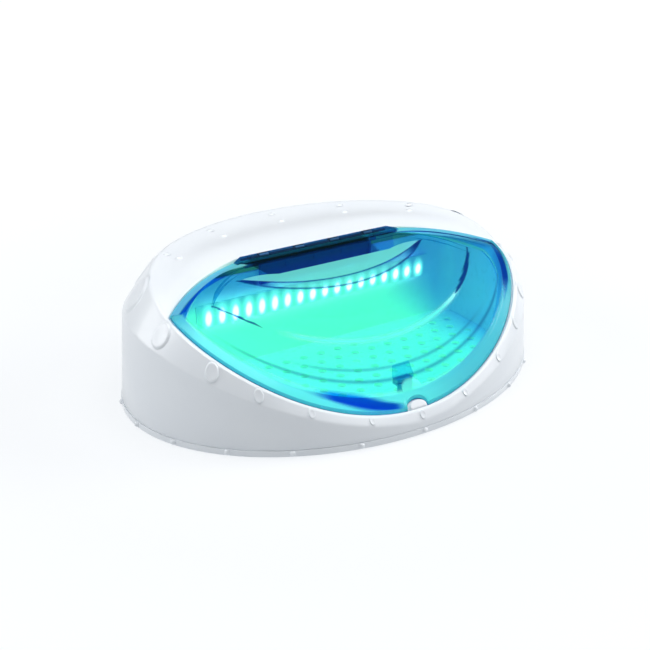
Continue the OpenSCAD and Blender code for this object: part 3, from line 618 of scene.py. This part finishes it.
def tub_outline(inset, front_points=180):
    """Outline of the chamber: a front arc, straight sides and a back wall with round corners."""
    a, back, r = TUB_TIP_X - inset, TUB_BACK_Y - inset, TUB_CORNER_R
    front = TUB_WIDE_Y - TUB_FRONT_Y - inset
    points = [(a * sind(t), TUB_WIDE_Y - front * cosd(t)) for t in np.linspace(-90, 90, front_points + 1)]
    points += [(a, lerp(TUB_WIDE_Y, back - r, t)) for t in np.linspace(0, 1, 9)[1:-1]]
    points += [(a - r + r * cosd(g), back - r + r * sind(g)) for g in np.linspace(0, 90, 10)]
    points += [(lerp(a - r, r - a, t), back) for t in np.linspace(0, 1, 60)[1:-1]]
    points += [(r - a + r * cosd(g), back - r + r * sind(g)) for g in np.linspace(90, 180, 10)]
    points += [(-a, lerp(back - r, TUB_WIDE_Y, t)) for t in np.linspace(0, 1, 9)[1:-1]]
    return points


def tub_column(outer, inner):
    """Section of the chamber's wall: outside, rounded top, inside, and a round foot."""
    (xo, yo), (xi, yi) = outer, inner
    top, base = min(66, rim_z(yi) - LEDGE_DROP - 2.1), TUB_Z + TUB_T
    inward = -unit(vec(xi, yi + 30, 0))
    column = [vec(xo, yo, TUB_Z), vec(xo, yo, top - 0.3), vec(xo, yo, top) + inward * 0.3,
              vec(xi, yi, top) - inward * 0.3, vec(xi, yi, top - 0.3)]
    column += [vec(xi, yi, lerp(top - 0.3, base + TUB_FOOT_R, t)) for t in (0.25, 0.5, 0.75)]
    for g in np.linspace(0, 90, 6):
        turn = inward * (1 - cosd(g)) - vec(0, 0, sind(g))
        column.append(vec(xi, yi, base + TUB_FOOT_R) + turn * TUB_FOOT_R)
    return column


def chamber(material):
    """The moulded tub under the lid."""
    columns = [tub_column(*pair) for pair in zip(tub_outline(0), tub_outline(TUB_T))]
    n, m = len(columns), len(columns[0])
    points = [p for column in columns for p in column]
    faces = flip(grid_faces(n, m, wrap_rows=True))
    middle_y = -25
    points += [vec(0, middle_y, TUB_Z), vec(0, middle_y, TUB_Z + TUB_T)]
    for i in range(n):
        k = (i + 1) % n
        faces.append((n * m, k * m, i * m))
        faces.append((n * m + 1, i * m + m - 1, k * m + m - 1))
    build("chamber_shell", points, faces, material, "housing", ["chamber_tub"])


def lens_strip(material):
    """The clear strip over the lamps: a tall oval bulge in front of each lamp."""
    columns, rows = 432, 28
    xs = np.linspace(-LENS_HALF, LENS_HALF, columns)
    front_y = LED_WALL_Y - LENS_FRONT + 0.05
    points = []
    for z in np.linspace(-LENS_HIGH, LENS_HIGH, rows):
        for x in xs:
            k = min(max(round((x - LED_FIRST_X) / LED_PITCH), 0), LED_COUNT - 1)
            r = np.hypot((x - LED_FIRST_X - k * LED_PITCH) / LENS_OVAL[0], z / LENS_OVAL[1])
            points.append(vec(x, front_y + LENS_DIP * smooth(0.3, 1.05, r), LED_Z + z))
    back = [vec(p[0], LED_WALL_Y - LENS_BACK, p[2]) for p in points]
    count = len(points)
    faces = flip(grid_faces(rows, columns)) + grid_faces(rows, columns, start=count)
    rim = list(range(columns)) + [i * columns + columns - 1 for i in range(1, rows)]
    rim += [(rows - 1) * columns + j for j in range(columns - 2, -1, -1)]
    rim += [i * columns for i in range(rows - 2, 0, -1)]
    faces += [(a, b, b + count, a + count) for a, b in zip(rim, rim[1:] + rim[:1])]
    build("led_lens_strip", points + back, faces, material, "housing", ["led_lens"])


# ---- Button ----------------------------------------------------------------------------------

def half_oval(a, b, front, count=60):
    """Outline a wide and b deep behind the button's middle line, reaching front before it."""
    dip = degrees(asin(min(1, front / b)))
    arc = [(a * cosd(t), BUTTON_Y + b * sind(t)) for t in np.linspace(-dip, 180 + dip, count)]
    (x0, y0), (x1, _) = arc[-1], arc[0]
    return arc + [(lerp(x0, x1, t), y0) for t in np.linspace(0, 1, 15)[1:-1]]


TAB_TOP = ((1, 1.4), (1, 0.7), (0.975, 0.3), (0.92, 0.08), (0.84, 0), (0.6, 0), (0.35, 0), (0.12, 0))


def button_tab(material):
    """Half-round tab on its flange, with a soft sloped top that follows the housing's front
    and a pocket below that leaves room for its switch."""
    tab = half_oval(BUTTON_R, TAB_DEPTH, TAB_FRONT)
    flange = half_oval(FLANGE_R, FLANGE_R, FLANGE_FRONT)
    middle, over_switch = vec(0, BUTTON_Y + 0.6), vec(*BUTTON_SPRING)
    pocket = [over_switch + POCKET_R * unit(vec(x, y) - over_switch) for x, y in flange]
    grid = [[vec(x, y, z) for x, y in pocket] for z in (POCKET_Z, FLANGE_Z)]
    grid += [[vec(x, y, z) for x, y in flange] for z in (FLANGE_Z, FLANGE_TOP - 0.2)]
    grid.append([vec(0.97 * x, lerp(middle[1], y, 0.97), FLANGE_TOP) for x, y in flange])
    grid.append([vec(x, y, FLANGE_TOP) for x, y in tab])
    for share, drop in TAB_TOP:
        row = []
        for x, y in tab:
            px, py = lerp(middle, vec(x, y), share)
            row.append(vec(px, py, TAB_FRONT_Z + TAB_SLOPE * (py - BUTTON_Y + TAB_FRONT) - drop))
        grid.append(row)
    points, faces = [], []
    add_pad(points, faces, grid)
    build("start_button_tab", points, faces, material, "start_button", ["start_button"],
          sharp=60)


def coil(name, node, middle, radius, bottom, top, turns, material):
    """A coil spring with flattened ends, between two heights of its wire's middle."""
    steps, grid = 24 * turns, []
    for i in range(steps + 1):
        z, turn = lerp(bottom, top, min(max((i / steps - 0.12) / 0.76, 0), 1)), 15 * i
        row = []
        for j in range(8):
            out, down = radius + SPRING_WIRE * cosd(45 * j), SPRING_WIRE * sind(45 * j)
            row.append(vec(middle[0] + out * cosd(turn), middle[1] + out * sind(turn), z - down))
        grid.append(row)
    points, faces = [], []
    add_pad(points, faces, grid)
    piece = build(name, points, faces, material, "housing", [node])
    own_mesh(piece)


def springs(steel):
    """The springs under the button and under the lid's plunger."""
    coil("button_coil", "button_spring", BUTTON_SPRING, 4, 5.2, 7.75, 3, steel)
    coil("lid_switch_coil", "lid_switch_spring", PLUNGER_SPRING, 2.1, 6.82, 10.78, 5, steel)


# ---- Materials ---------------------------------------------------------------------------------

class Shader:
    """A node material, with short calls for the nodes that it is made of."""

    def __init__(self, name):
        self.material = bpy.data.materials.new(name)
        self.material.use_nodes = True
        self.tree = self.material.node_tree
        self.plastic = self.tree.nodes["Principled BSDF"]
        self.output = self.tree.nodes["Material Output"]
        self.place = self.add("ShaderNodeTexCoord").outputs["Object"]

    def add(self, kind, **settings):
        node = self.tree.nodes.new(kind)
        for key, value in settings.items():
            setattr(node, key, value)
        return node

    def join(self, value, socket):
        if isinstance(value, bpy.types.NodeSocket):
            self.tree.links.new(value, socket)
        elif socket.type == "RGBA" and len(value) == 3:
            socket.default_value = (*value, 1)
        else:
            socket.default_value = value

    def set(self, **values):
        for key, value in values.items():
            self.join(value, self.plastic.inputs[key.replace("_", " ")])

    def math(self, operation, a, b=0.0, clamp=False):
        node = self.add("ShaderNodeMath", operation=operation, use_clamp=clamp)
        self.join(a, node.inputs[0])
        self.join(b, node.inputs[1])
        return node.outputs[0]

    def times(self, a, b):
        return self.math("MULTIPLY", a, b)

    def mix(self, share, a, b):
        node = self.add("ShaderNodeMix", data_type="RGBA")
        self.join(share, node.inputs["Factor"])
        self.join(a, node.inputs[6])
        self.join(b, node.inputs[7])
        return node.outputs[2]

    def noise(self, scale, detail=3.0, rough=0.5, place=None):
        node = self.add("ShaderNodeTexNoise")
        self.join(place or self.place, node.inputs["Vector"])
        self.join(scale, node.inputs["Scale"])
        self.join(detail, node.inputs["Detail"])
        self.join(rough, node.inputs["Roughness"])
        return node.outputs["Fac"]

    def span(self, value, low, high, to_low=0.0, to_high=1.0, soft=False):
        node = self.add("ShaderNodeMapRange", interpolation_type="SMOOTHSTEP" if soft else "LINEAR")
        self.join(value, node.inputs["Value"])
        self.join(low, node.inputs["From Min"])
        self.join(high, node.inputs["From Max"])
        self.join(to_low, node.inputs["To Min"])
        self.join(to_high, node.inputs["To Max"])
        return node.outputs["Result"]

    def axes(self):
        node = self.add("ShaderNodeSeparateXYZ")
        self.join(self.place, node.inputs[0])
        return node.outputs

    def bump(self, height, distance):
        node = self.add("ShaderNodeBump")
        self.join(height, node.inputs["Height"])
        self.join(distance, node.inputs["Distance"])
        self.join(node.outputs["Normal"], self.plastic.inputs["Normal"])


def grained(name, roughness, coat=0.0):
    """Moulded plastic before it is coloured: a fine grain and a gloss that varies a little."""
    s = Shader(name)
    s.set(Coat_Weight=coat, Coat_Roughness=0.12, IOR=1.49,
          Roughness=s.span(s.noise(300), 0.3, 0.7, roughness - 0.05, roughness + 0.06))
    s.bump(s.noise(2600, 2), 0.00003)
    return s


def moulded(name, colour, tint, roughness, coat=0.0):
    """Moulded plastic with a faintly cloudy colour."""
    s = grained(name, roughness, coat)
    s.set(Base_Color=s.mix(s.span(s.noise(40, 4), 0.35, 0.65), colour, tint))


def metal(name, colour, roughness):
    """Plated steel with fine brushed streaks."""
    s = Shader(name)
    stretch = s.add("ShaderNodeMapping")
    s.join(s.place, stretch.inputs["Vector"])
    s.join((40, 900, 40), stretch.inputs["Scale"])
    lines = s.noise(4, place=stretch.outputs[0])
    s.set(Base_Color=s.mix(lines, colour, [c * 0.82 for c in colour]), Metallic=1.0,
          Roughness=s.span(lines, 0.3, 0.7, roughness - 0.07, roughness + 0.1))
    s.bump(lines, 0.00003)


def rubber(name):
    """Dull black rubber."""
    s = Shader(name)
    s.set(Base_Color=s.mix(s.noise(500), (0.03, 0.03, 0.033), (0.055, 0.055, 0.06)), Roughness=0.75)
    s.bump(s.noise(1800, 2), 0.00008)


def circuit_board(name, over_track, bare):
    """Solder mask over a net of tracks."""
    s = Shader(name)
    cells = s.add("ShaderNodeTexVoronoi", feature="DISTANCE_TO_EDGE")
    s.join(s.place, cells.inputs["Vector"])
    s.join(170, cells.inputs["Scale"])
    track = s.span(cells.outputs["Distance"], 0.02, 0.06)
    s.set(Base_Color=s.mix(track, over_track, bare), Roughness=0.35, Coat_Weight=0.3)
    s.bump(track, 0.00004)


PAINTED_GLOW = (0.28, 0.9, 0.33)      # painted lamp light: the glow painted on the chamber's walls
PAINTED_DIM_BLUE = (0.0, 0.015, 0.17)      # painted dim blue glow that fills the rest of the chamber
PAINTED_UNDER_SHADE = (0.0, 0.05, 0.2)       # painted shade that shows through the holes of the tray


def painted_chamber_glow(s):
    """Painted lamp light on the chamber's walls, in base colour and glow: bright below the row of lamps,
    dimmer at the left-hand end, painted blue shade above and to the right.
    """
    x, _, z = s.axes()
    below = s.span(z, 0.058, 0.044, soft=True)
    right = s.span(s.math("ADD", x, s.times(z, 0.9)), 0.122, 0.07, soft=True)
    ends = s.span(x, -0.1, -0.075, 0.4, 1.0, soft=True)
    lit = s.times(s.times(below, right), ends)
    s.set(Base_Color=s.mix(lit, (0.68, 0.73, 0.84), (0.75, 0.8, 0.64)))
    return s.mix(lit, PAINTED_DIM_BLUE, PAINTED_GLOW)


def chamber_plastic(name):
    """Pale plastic with the lamps' light painted on as glow, and painted shade under the tray."""
    s = grained(name, 0.3)
    _, _, z = s.axes()
    # painted shade below the tray, painted lamp light above it
    above_tray = s.span(z, 0.0085, 0.009)
    s.set(Emission_Color=s.mix(above_tray, PAINTED_UNDER_SHADE, painted_chamber_glow(s)), Emission_Strength=1.0)


def lamp_light(name):
    """The lamps themselves, a little uneven."""
    s = Shader(name)
    s.set(Base_Color=(0.9, 1, 1), Emission_Color=(0.72, 1.0, 0.97), Roughness=0.2,
          Emission_Strength=s.span(s.noise(900), 0.3, 0.7, 5.0, 7.0))


def film(s, tint, cover):
    """Lets the shader's plastic cover a clear film of the given tint."""
    clear = s.add("ShaderNodeBsdfTransparent")
    s.join(tint, clear.inputs["Color"])
    blend = s.add("ShaderNodeMixShader")
    s.join(cover, blend.inputs[0])
    s.join(clear.outputs[0], blend.inputs[1])
    s.join(s.plastic.outputs[0], blend.inputs[2])
    s.join(blend.outputs[0], s.output.inputs["Surface"])


def lens_plastic(name):
    """Frosted strip with painted lamp light: a painted white glow where a lamp stands behind it, with a
    painted aqua halo round that.
    """
    s = Shader(name)
    x, _, z = s.axes()
    step = s.math("DIVIDE", s.math("SUBTRACT", x, LED_FIRST_X * MM), LED_PITCH * MM)
    across = s.times(s.math("SUBTRACT", step, s.math("ROUND", step)), LED_PITCH / 2.6)
    tall = s.span(x, -0.035, 0.0, 5.8 * MM, 4.4 * MM)
    up = s.math("DIVIDE", s.math("SUBTRACT", z, (LED_Z - 1.7) * MM), tall)
    far = s.math("SQRT", s.math("ADD", s.times(across, across), s.times(up, up)))
    row = s.math("LESS_THAN", s.math("ABSOLUTE", x), LED_COUNT / 2 * LED_PITCH * MM)
    # painted glow of each lamp through the strip: a white core and an aqua halo
    core = s.times(s.span(far, 1.1, 0.5, soft=True), row)
    halo = s.times(s.span(far, 2.1, 0.6, soft=True), row)
    s.set(Emission_Color=s.mix(core, s.mix(halo, painted_chamber_glow(s), (1.0, 1.4, 0.8)), (2.4, 1.1, 0.85)),
          Emission_Strength=s.span(core, 0, 1, 1.0, 3.0), Roughness=0.3)
    s.bump(s.noise(900), 0.00002)


def lid_plastic(name):
    """Clear tinted plastic: what is behind shows through its tint, steps show as painted dark lines,
    painted blue shade deepens the tint, the crescent is hazy with a painted glow, and the flange gets a
    painted glow in place of the lamps' light."""
    s = Shader(name)
    mask = s.add("ShaderNodeAttribute", attribute_name="pressed")
    split = s.add("ShaderNodeSeparateColor")
    s.join(mask.outputs["Color"], split.inputs[0])
    dark, haze_and_glow, glow = split.outputs
    gloss = s.add("ShaderNodeFresnel")
    s.join(1.35, gloss.inputs["IOR"])
    shine = s.math("MINIMUM", s.times(gloss.outputs[0], 0.3), 0.06)
    cover = s.math("MAXIMUM", s.math("MAXIMUM", shine, s.times(haze_and_glow, 0.8)), s.times(glow, 0.6))
    clean = s.math("SUBTRACT", 1.0, s.math("MAXIMUM", dark, mask.outputs["Alpha"]), clamp=True)
    cover = s.math("MAXIMUM", s.times(cover, clean), shine, clamp=True)
    x, y, _ = s.axes()
    # painted lamp light: the haze is greener in the middle and bluer towards the ends, and its painted glow
    # is brighter in the middle
    aside = s.span(s.math("ABSOLUTE", x), 0.04, 0.07)
    haze = s.mix(aside, (0.08, 0.36, 0.36), (0.12, 0.42, 0.62))
    lit = s.mix(aside, (0.06, 0.3, 0.2), (0.02, 0.08, 0.1))
    s.set(Base_Color=s.mix(haze_and_glow, (0.17, 0.62, 0.64), haze), Roughness=0.12, IOR=1.4,
          Emission_Color=s.mix(glow, lit, (0.05, 1.0, 0.6)), Emission_Strength=s.math("MAXIMUM", glow, haze_and_glow))
    s.bump(s.noise(400, 2), 0.00001)
    # the film's tint deepens to painted blue shade and to painted dark lines
    plain = s.mix(mask.outputs["Alpha"], (0.38, 0.78, 0.92), (0.0, 0.23, 0.92))
    film(s, s.mix(dark, plain, (0.02, 0.08, 0.36)), cover)


def clear_plastic(name, tint, cloud, light=0.0):
    """Clear plastic of the small parts at the lid. cloud says how cloudy it is, light how much
    painted glow it gets, in place of the lamps' light."""
    s = Shader(name)
    gloss = s.add("ShaderNodeFresnel")
    s.join(1.4, gloss.inputs["IOR"])
    haze = s.span(s.noise(250), 0.3, 0.7, 0.8 * cloud, 1.2 * cloud)
    s.set(Base_Color=[0.8 * c for c in tint], Roughness=0.2,
          Emission_Color=(0.08, 0.4, 0.4), Emission_Strength=light)
    film(s, tint, s.math("MAXIMUM", s.math("MINIMUM", gloss.outputs[0], 0.1), haze))


def hinge_plastic(name):
    """Dark blue plastic, deeper towards its lower edge."""
    s = grained(name, 0.45)
    _, _, z = s.axes()
    s.set(Base_Color=s.mix(s.span(z, 0.058, 0.067), (0.0, 0.05, 0.8), (0.02, 0.16, 0.5)))


def make_materials():
    """All materials of the part, each under its own name."""
    moulded("housing_plastic", (0.76, 0.8, 0.84), (0.745, 0.785, 0.83), 0.34, coat=0.2)
    moulded("dark_plastic", (0.02, 0.02, 0.024), (0.03, 0.03, 0.035), 0.45)
    # its glow is painted lamp light
    clear_plastic("soft_clear", (0.6, 0.95, 0.97), 0.25, 1.0)
    clear_plastic("hinge_clear", (0.1, 0.35, 0.62), 0.08)
    hinge_plastic("hinge_plastic")
    metal("plated_steel", (0.72, 0.73, 0.75), 0.28)
    metal("blued_steel", (0.03, 0.09, 0.2), 0.35)
    chamber_plastic("chamber_plastic")
    lid_plastic("lid_plastic")
    lens_plastic("lens_plastic")
    lamp_light("lamp_light")
    rubber("foot_rubber")
    moulded("pale_coating", (0.3, 0.62, 0.75), (0.26, 0.56, 0.7), 0.35)
    circuit_board("board_mask", (0.05, 0.24, 0.12), (0.015, 0.11, 0.06))
    circuit_board("white_mask", (0.8, 0.86, 0.86), (0.7, 0.8, 0.82))


# ---- Assembly -----------------------------------------------------------------------------------

# The CAD nodes that stay, by material
DRESS = {
    "housing_plastic": ["base_plate", "lid_switch_plunger"],
    "chamber_plastic": ["phone_tray"],
    "hinge_clear": ["lid_hinge_strip"],
    "soft_clear": ["lid_bumpers", "lid_catch"],
    "lamp_light": ["leds"],
    "hinge_plastic": ["hinge_cover"],
    "blued_steel": ["hinge_bracket", "hinge_pin"],
    "plated_steel": ["base_screws", "hinge_screws", "board_screws"],
    "dark_plastic": ["button_switch", "lid_switch", "dc_inlet", "board_components"],
    "pale_coating": ["lid_magnet", "catch_plate"],
    "white_mask": ["led_board"],
    "board_mask": ["button_board", "control_board"],
    "foot_rubber": ["rubber_feet"],
}


def assemble():
    """The part: its own meshes, and the new materials of the CAD nodes that stay."""
    make_materials()
    material = bpy.data.materials
    outer_housing(material["housing_plastic"])
    foot_band(material["housing_plastic"])
    lid_shell(material["lid_plastic"])
    chamber(material["chamber_plastic"])
    lens_strip(material["lens_plastic"])
    button_tab(material["housing_plastic"])
    springs(material["plated_steel"])
    for name, nodes in DRESS.items():
        for node in nodes:
            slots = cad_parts[node].data.materials
            slots.clear()
            slots.append(material[name])


# ---- Stage ----------------------------------------------------------------------------------------

def floor(size=60.0):
    """A pale floor that shines a little, so that no hard shadow falls on it."""
    mesh = bpy.data.meshes.new("floor")
    corners = [(x * size, y * size, 0) for x, y in ((-1, -1), (1, -1), (1, 1), (-1, 1))]
    mesh.from_pydata(corners, [], [(0, 1, 2, 3)])
    s = Shader("floor_paint")
    x, y, _ = s.axes()
    away = s.math("SQRT", s.math("ADD", s.times(x, x), s.times(y, y)))
    s.set(Base_Color=(0.15, 0.15, 0.15), Roughness=0.8, Emission_Color=(0.97, 1.0, 1.03),
          Emission_Strength=s.span(away, 0.2, 0.9, 0.78, 1.0))
    mesh.materials.append(s.material)
    plane = bpy.data.objects.new("floor", mesh)
    bpy.context.scene.collection.objects.link(plane)


def aim(obj, target):
    """Turns a lamp or the camera to look at a point."""
    obj.rotation_euler = (Vector(target) - obj.location).to_track_quat("-Z", "Y").to_euler()


def area_light(name, place, size, power):
    """A round, soft lamp that shines at the part."""
    light = bpy.data.lights.new(name, "AREA")
    light.shape = "DISK"
    light.size = size
    light.energy = power
    lamp = bpy.data.objects.new(name, light)
    lamp.location = place
    bpy.context.scene.collection.objects.link(lamp)
    aim(lamp, (0, 0, 0.03))


def lights():
    """Three soft lamps and a faint sky."""
    area_light("overhead", (0.0, -0.15, 1.5), 1.7, 25)
    area_light("left", (-1.2, 0.65, 0.75), 0.8, 7.5)
    area_light("right", (1.3, -0.35, 0.8), 0.8, 13)
    sky = bpy.data.worlds.new("studio")
    sky.use_nodes = True
    sky.node_tree.nodes["Background"].inputs["Color"].default_value = (0.9, 0.96, 1.0, 1)
    sky.node_tree.nodes["Background"].inputs["Strength"].default_value = 0.04
    bpy.context.scene.world = sky


CAMERA_AZ, CAMERA_EL, CAMERA_FAR = -31.956, 24.457, 0.72096     # degrees, degrees, metres
FOCAL_PX, IMAGE_PX = 1087.78, 650
CAMERA_TARGET = Vector((0.030, 0.05454, 0.0))


def camera():
    """The photograph's view, fitted to the object's outlines."""
    data = bpy.data.cameras.new("camera")
    data.sensor_width = 36.0
    data.lens = FOCAL_PX * data.sensor_width / IMAGE_PX
    eye = bpy.data.objects.new("camera", data)
    back = Vector((sind(CAMERA_AZ) * cosd(CAMERA_EL), -cosd(CAMERA_AZ) * cosd(CAMERA_EL), sind(CAMERA_EL)))
    eye.location = CAMERA_TARGET + back * CAMERA_FAR
    bpy.context.scene.collection.objects.link(eye)
    aim(eye, CAMERA_TARGET)
    bpy.context.scene.camera = eye


assemble()
floor()
lights()
camera()
bpy.context.scene.view_settings.view_transform = "Standard"
